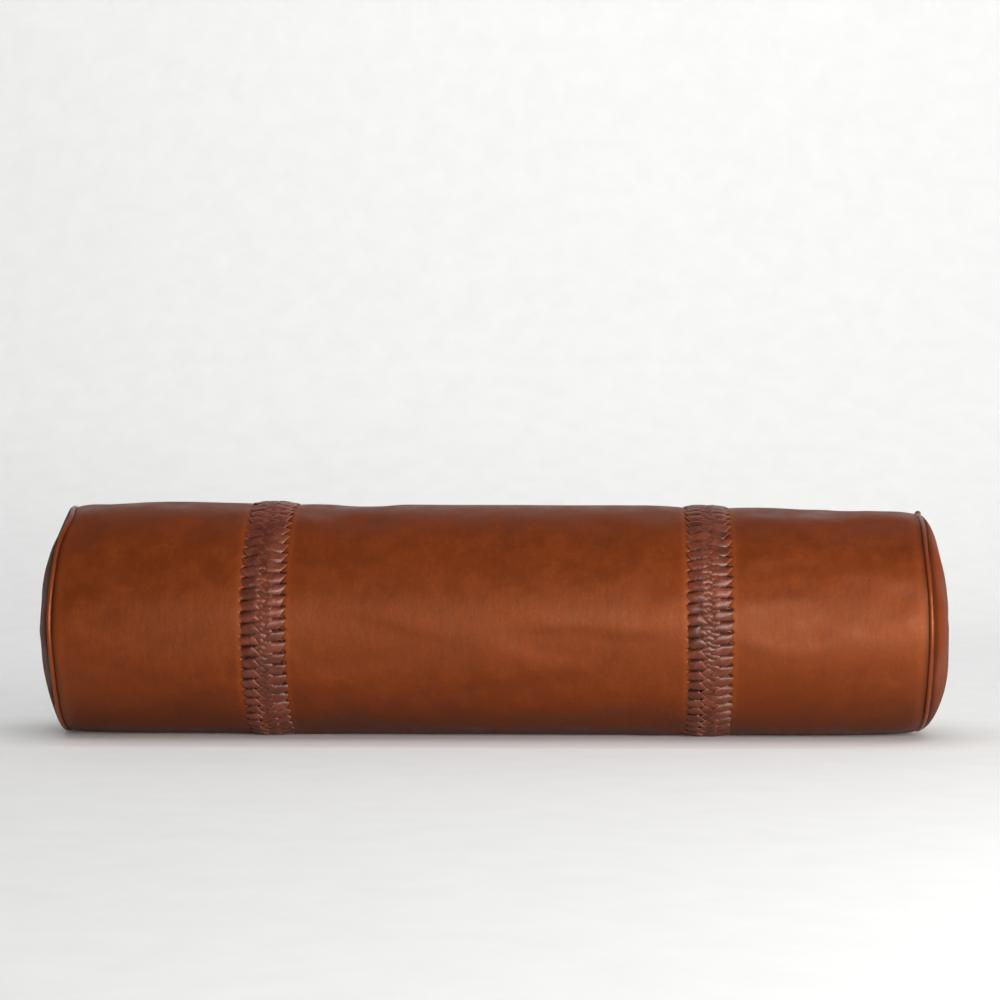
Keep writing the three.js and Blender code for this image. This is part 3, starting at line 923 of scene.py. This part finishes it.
def backing_strip(side):
    """The strip behind a band, which holds the two panels together."""
    half = BAND_HALF + 8 * MM
    outer_depth, inner_depth = BACKING_DEPTHS
    xs = np.linspace(-half, half, 9) + BAND[side]
    angle = around()
    outer = [place(x, angle, panel_radius(x, angle) - outer_depth, outer_depth) for x in xs]
    inner = [place(x, angle, panel_radius(x, angle) - inner_depth, inner_depth) for x in xs[::-1]]
    rings = outer + inner
    zeros = np.zeros((len(rings), AROUND))
    faces = [face[::-1] for face in grid_faces(len(rings), AROUND)]
    piece = new_object(f"{side}_backing_strip", rings, faces, layers={"shade": zeros, "wear_and_painted_light": zeros})
    finish_piece(piece, MATERIALS["backing"], replaces=[f"{side}_braid_backing"])


# ------------ the zip

SLOT_PAST_STOPS = 5.1 * MM
SLOT_X = (
    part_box("zipper_stop_open")[0].x - SLOT_PAST_STOPS,
    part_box("zipper_stop_closed")[1].x + SLOT_PAST_STOPS,
)
# Half the slot's width, in mesh steps round the bolster.
SLOT_STEPS = 4
COIL_PITCH = 2.0 * MM
COIL_WIRE = 0.36 * MM


def zip_coil(side):
    """A nylon coil: flattened loops standing across the tape."""
    low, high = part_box(f"zipper_coil_{side}")
    length = high.x - low.x - 2 * COIL_WIRE
    turns = round(length / COIL_PITCH)
    steps = 14
    t = np.arange(turns * steps + 1) / steps
    shift = 0.5 if side == "upper" else 0.0
    about = TURN * (t + shift)
    middle = (low + high) / 2
    half_y = (high.y - low.y) / 2 - COIL_WIRE
    half_z = (high.z - low.z) / 2 - COIL_WIRE
    x = low.x + COIL_WIRE + t * length / turns
    y = middle.y + half_y * np.sign(np.sin(about)) * np.abs(np.sin(about)) ** 0.8
    z = middle.z + half_z * np.sign(np.cos(about)) * np.abs(np.cos(about)) ** 0.6
    piece = wire_mesh(f"zip_coil_{side}", np.stack([x, y, z], axis=-1), COIL_WIRE, 6)
    finish_piece(piece, MATERIALS["nylon"], replaces=[f"zipper_coil_{side}"])


def wire_mesh(name, path, radius, sides):
    """A closed round wire along a path of points."""
    tangent = np.gradient(path, axis=0)
    tangent /= np.linalg.norm(tangent, axis=1)[:, None]
    reference = np.tile([1.0, 0.0, 0.0], (len(path), 1))
    flat = np.abs(tangent @ np.array([1.0, 0, 0])) > 0.9
    reference[flat] = [0, 1, 0]
    side = np.cross(tangent, reference)
    side /= np.linalg.norm(side, axis=1)[:, None]
    up = np.cross(side, tangent)
    about = around(sides)
    ring = side[:, None] * np.cos(about)[:, None] + up[:, None] * np.sin(about)[:, None]
    points = path[:, None] + ring * radius
    faces = grid_faces(len(path), sides, wrap_rows=False) + end_faces(len(path), sides)
    faces = [face[::-1] for face in faces]
    return new_object(name, points, faces, 70)


def zip_tape(side):
    """A woven tape behind the slot, with a corded edge beside the coil."""
    sign = 1 if side == "upper" else -1
    low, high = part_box(f"zipper_tape_{side}")
    thick = 0.55 * MM
    inner_z = AXIS_Z + sign * 0.75 * MM
    width = high.z - low.z - 0.2 * MM
    across = np.linspace(0, 1, 14)
    z = inner_z + sign * across * width
    drop = np.maximum(np.abs(z - AXIS_Z) - 9 * MM, 0) * math.tan(math.radians(9))
    y = high.y - drop - 0.05 * MM
    xs = np.linspace(low.x, high.x, 120)
    flutter = 0.08 * MM * ripples(xs, 0 * xs, 81 + sign, 5, 0.02, 1)
    front = np.stack(np.broadcast_arrays(xs[:, None], y[None, :] + flutter[:, None], z[None, :]), -1)
    rear = front - np.array([0, thick, 0])
    section = np.concatenate([front, rear[:, ::-1]], axis=1)
    columns = section.shape[1]
    faces = grid_faces(len(xs), columns, wrap_rows=False) + end_faces(len(xs), columns)
    if sign < 0:
        faces = [face[::-1] for face in faces]
    piece = new_object(f"zip_tape_{side}_woven", section, faces, 40)
    finish_piece(piece, MATERIALS["tape"], replaces=[f"zipper_tape_{side}"])


STITCH_PITCH, STITCH_LENGTH, STITCH_THICK = 4.2 * MM, 3.3 * MM, 0.55 * MM
STITCH_FROM_SLOT = 3.4 * MM
# The stitches across the slot's ends lie deeper, clear of the pull that passes over them.
END_STITCH_SUNK = 0.45 * MM


def stitch_lines():
    """Where each stitch starts and ends, as x and height: along both sides of the slot, then its ends."""
    aside = RADIUS * TURN * SLOT_STEPS / AROUND + STITCH_FROM_SLOT
    low, high = SLOT_X[0] - STITCH_FROM_SLOT, SLOT_X[1] + STITCH_FROM_SLOT
    lines = []
    for sign in (-1, 1):
        for x in np.arange(low, high - STITCH_PITCH / 2, STITCH_PITCH):
            lines.append(((x, sign * aside), (x + STITCH_LENGTH, sign * aside), True))
    for x in (low - 0.8 * MM, high):
        for z in np.arange(-aside, aside - STITCH_PITCH / 2, STITCH_PITCH):
            lines.append(((x, z), (x, z + STITCH_LENGTH), False))
    return lines


def topstitching():
    """Stitches along both sides and across both ends of the slot."""
    shares, sides = (0.0, 0.2, 0.5, 0.8, 1.0), 6
    outwards = np.array([0, 1.0, 0])
    points, faces = [], []
    for (x0, z0), (x1, z1), along_x in stitch_lines():
        start = len(points)
        sideways = np.array([0, 0, 1.0]) if along_x else np.array([1.0, 0, 0])
        sunk = 0 if along_x else END_STITCH_SUNK
        for share in shares:
            x, z = x0 + (x1 - x0) * share, z0 + (z1 - z0) * share
            angle = BACK - z / RADIUS
            arch = math.sin(math.pi * share)
            lift = STITCH_THICK * (0.9 * arch - 0.35) - sunk
            radius = panel_radius(np.array(x), np.array(angle)) + lift
            centre = place(np.array(x), np.array(angle), radius)
            swelling = STITCH_THICK * (0.55 + 0.45 * arch)
            for a in around(sides):
                points.append(centre + swelling * (math.cos(a) * sideways + math.sin(a) * outwards))
        faces += grid_faces(len(shares), sides, wrap_rows=False, start=start)
        faces += end_faces(len(shares), sides, start)
    piece = new_object("zip_topstitching", points, faces, 80)
    finish_piece(piece, MATERIALS["thread"])


def metal_parts():
    """The zip's metal pieces keep their frame shapes, with their edges eased."""
    for name in ("zipper_slider", "zipper_pull", "zipper_stop_open", "zipper_stop_closed"):
        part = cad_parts[name]
        part.data.materials.clear()
        part.data.materials.append(MATERIALS["brass"])
        ease = part.modifiers.new("eased edges", "BEVEL")
        ease.width = 0.22 * MM
        ease.segments = 3
        ease.limit_method = "ANGLE"


# ------------ the insert


INSERT_DEPTH = 5.6 * MM
INSERT_AROUND = 180
INSERT_CAP_SHARES = (0.15, 0.4, 0.65, 0.85, 0.95)


def insert():
    """The stuffed cotton case, a little slack inside the cover."""
    depth, steps = INSERT_DEPTH, INSERT_AROUND
    angle = around(steps)
    body_x = np.linspace(SEAM["left"] + 14 * MM, SEAM["right"] - 14 * MM, 60)
    rings = []
    for share in INSERT_CAP_SHARES:
        rings.append(cap_points("left", np.full(steps, share), angle, depth))
    for x in body_x:
        crumple = 0.8 * MM * ripples(x, angle, 91, 10, 0.09, 9)
        rings.append(place(x, angle, panel_radius(x, angle) - depth + crumple - 0.8 * MM, depth))
    for share in INSERT_CAP_SHARES[::-1]:
        rings.append(cap_points("right", np.full(steps, share), angle, depth))
    tips = [cap_points(side, np.zeros(1), np.zeros(1), depth)[0] for side in ("left", "right")]
    points = np.concatenate([np.asarray(rings).reshape(-1, 3), tips])
    faces = grid_faces(len(rings), steps, wrap_rows=False)
    faces += tip_fans(len(rings) * steps, steps)
    case = new_object("insert_case", points, faces, 60)
    nodes = ["insert_case_tube", "insert_case_left_end", "insert_case_right_end"]
    finish_piece(case, MATERIALS["cotton"], replaces=nodes)
    filling = new_object("insert_stuffing", shrunk(points, 3 * MM), faces, 60)
    finish_piece(filling, MATERIALS["cotton"], replaces=["insert_filling"])
    return filling


def shrunk(points, by):
    """The points drawn in towards their middle, so that each side moves in by that length."""
    centre = (points.max(0) + points.min(0)) / 2
    half = (points.max(0) - points.min(0)) / 2
    return centre + (points - centre) * (1 - by / half)


# ------------ studio


def area_light(name, place_at, aim, size, power, tint=(1, 1, 1), mirrored=True):
    lamp = bpy.data.lights.new(name, "AREA")
    lamp.shape = "RECTANGLE"
    lamp.size, lamp.size_y = size
    lamp.energy = power
    lamp.color = tint
    made = bpy.data.objects.new(name, lamp)
    made.location = place_at
    made.rotation_euler = (Vector(aim) - Vector(place_at)).to_track_quat("-Z", "Y").to_euler()
    made.visible_glossy = mirrored
    bpy.context.scene.collection.objects.link(made)


def studio_floor():
    """A pale sweep: level floor that curves up into the backdrop."""
    half_width, front, back_y, height, bend = 6.0, -5.0, 3.2, 4.5, 1.6
    profile = [(front, 0.0), (back_y - bend, 0.0)]
    for k in range(1, 17):
        a = math.pi / 2 * k / 16
        profile.append((back_y - bend + bend * math.sin(a), bend * (1 - math.cos(a))))
    profile.append((back_y, height))
    points = [(x, y, z) for y, z in profile for x in (-half_width, half_width)]
    faces = [[2 * k, 2 * k + 1, 2 * k + 3, 2 * k + 2] for k in range(len(profile) - 1)]
    floor = new_object("studio_sweep", np.array(points), faces, 60)
    s = Shader("pale paper")
    tooth = s.noise(s.coordinates(), 0.02, 3)
    tone = s.mix(s.remap(tooth, 0.3, 0.7, 0, 1), (0.80, 0.80, 0.795, 1), (0.83, 0.83, 0.825, 1))
    floor.data.materials.append(s.finish(Base_Color=tone, Roughness=0.9))


def studio_lights():
    world = bpy.data.worlds.new("studio")
    bpy.context.scene.world = world
    world.use_nodes = True
    sky = world.node_tree.nodes["Background"].inputs
    sky["Color"].default_value = (0.95, 0.97, 1.0, 1)
    sky["Strength"].default_value = 0.16
    area_light("window", (1.55, -1.5, 0.50), (0.3, 0, 0.12), (1.1, 0.75), 27, (1.0, 0.985, 0.96))
    area_light("glow", (1.2, -3.1, 0.28), (0.25, 0, 0.1), (2.4, 0.6), 98, (1.0, 0.99, 0.97))
    area_light("ceiling", (0.2, -0.9, 3.6), (0.1, -0.3, 0), (5.0, 3.0), 60, mirrored=False)
    area_light("front", (0.2, -3.4, 1.6), (0, 0, 0), (2.5, 1.0), 5, mirrored=False)
    area_light("backdrop", (0.6, 0.9, 3.2), (0.5, 3.2, 1.2), (7.0, 1.0), 71, mirrored=False)


def camera():
    """Level with the top of the bolster, two and a half metres off, a little to the right."""
    distance, height, swing = 2.5, 0.2325, math.radians(2.5)
    eye = bpy.data.cameras.new("camera")
    eye.lens = 90
    eye.sensor_width = 36
    made = bpy.data.objects.new("camera", eye)
    aim_right = math.radians(0.16)
    made.location = (distance * math.sin(swing), -distance * math.cos(swing), height)
    made.rotation_euler = (math.pi / 2, 0, swing - aim_right)
    bpy.context.scene.collection.objects.link(made)
    bpy.context.scene.camera = made


# ------------ assembly

bpy.context.scene.view_settings.view_transform = "Standard"

camera()
studio_floor()
studio_lights()

stuff_cover()

cover = [side_panel("left"), centre_panel(), side_panel("right"), end_cap("left"), end_cap("right")]
for band_side in SIDES:
    piping(band_side)
    backing_strip(band_side)
    for lace_number in range(STRANDS):
        lace(band_side, lace_number)
for tape_side in ("upper", "lower"):
    zip_coil(tape_side)
    zip_tape(tape_side)
topstitching()
metal_parts()
stuffing = insert()
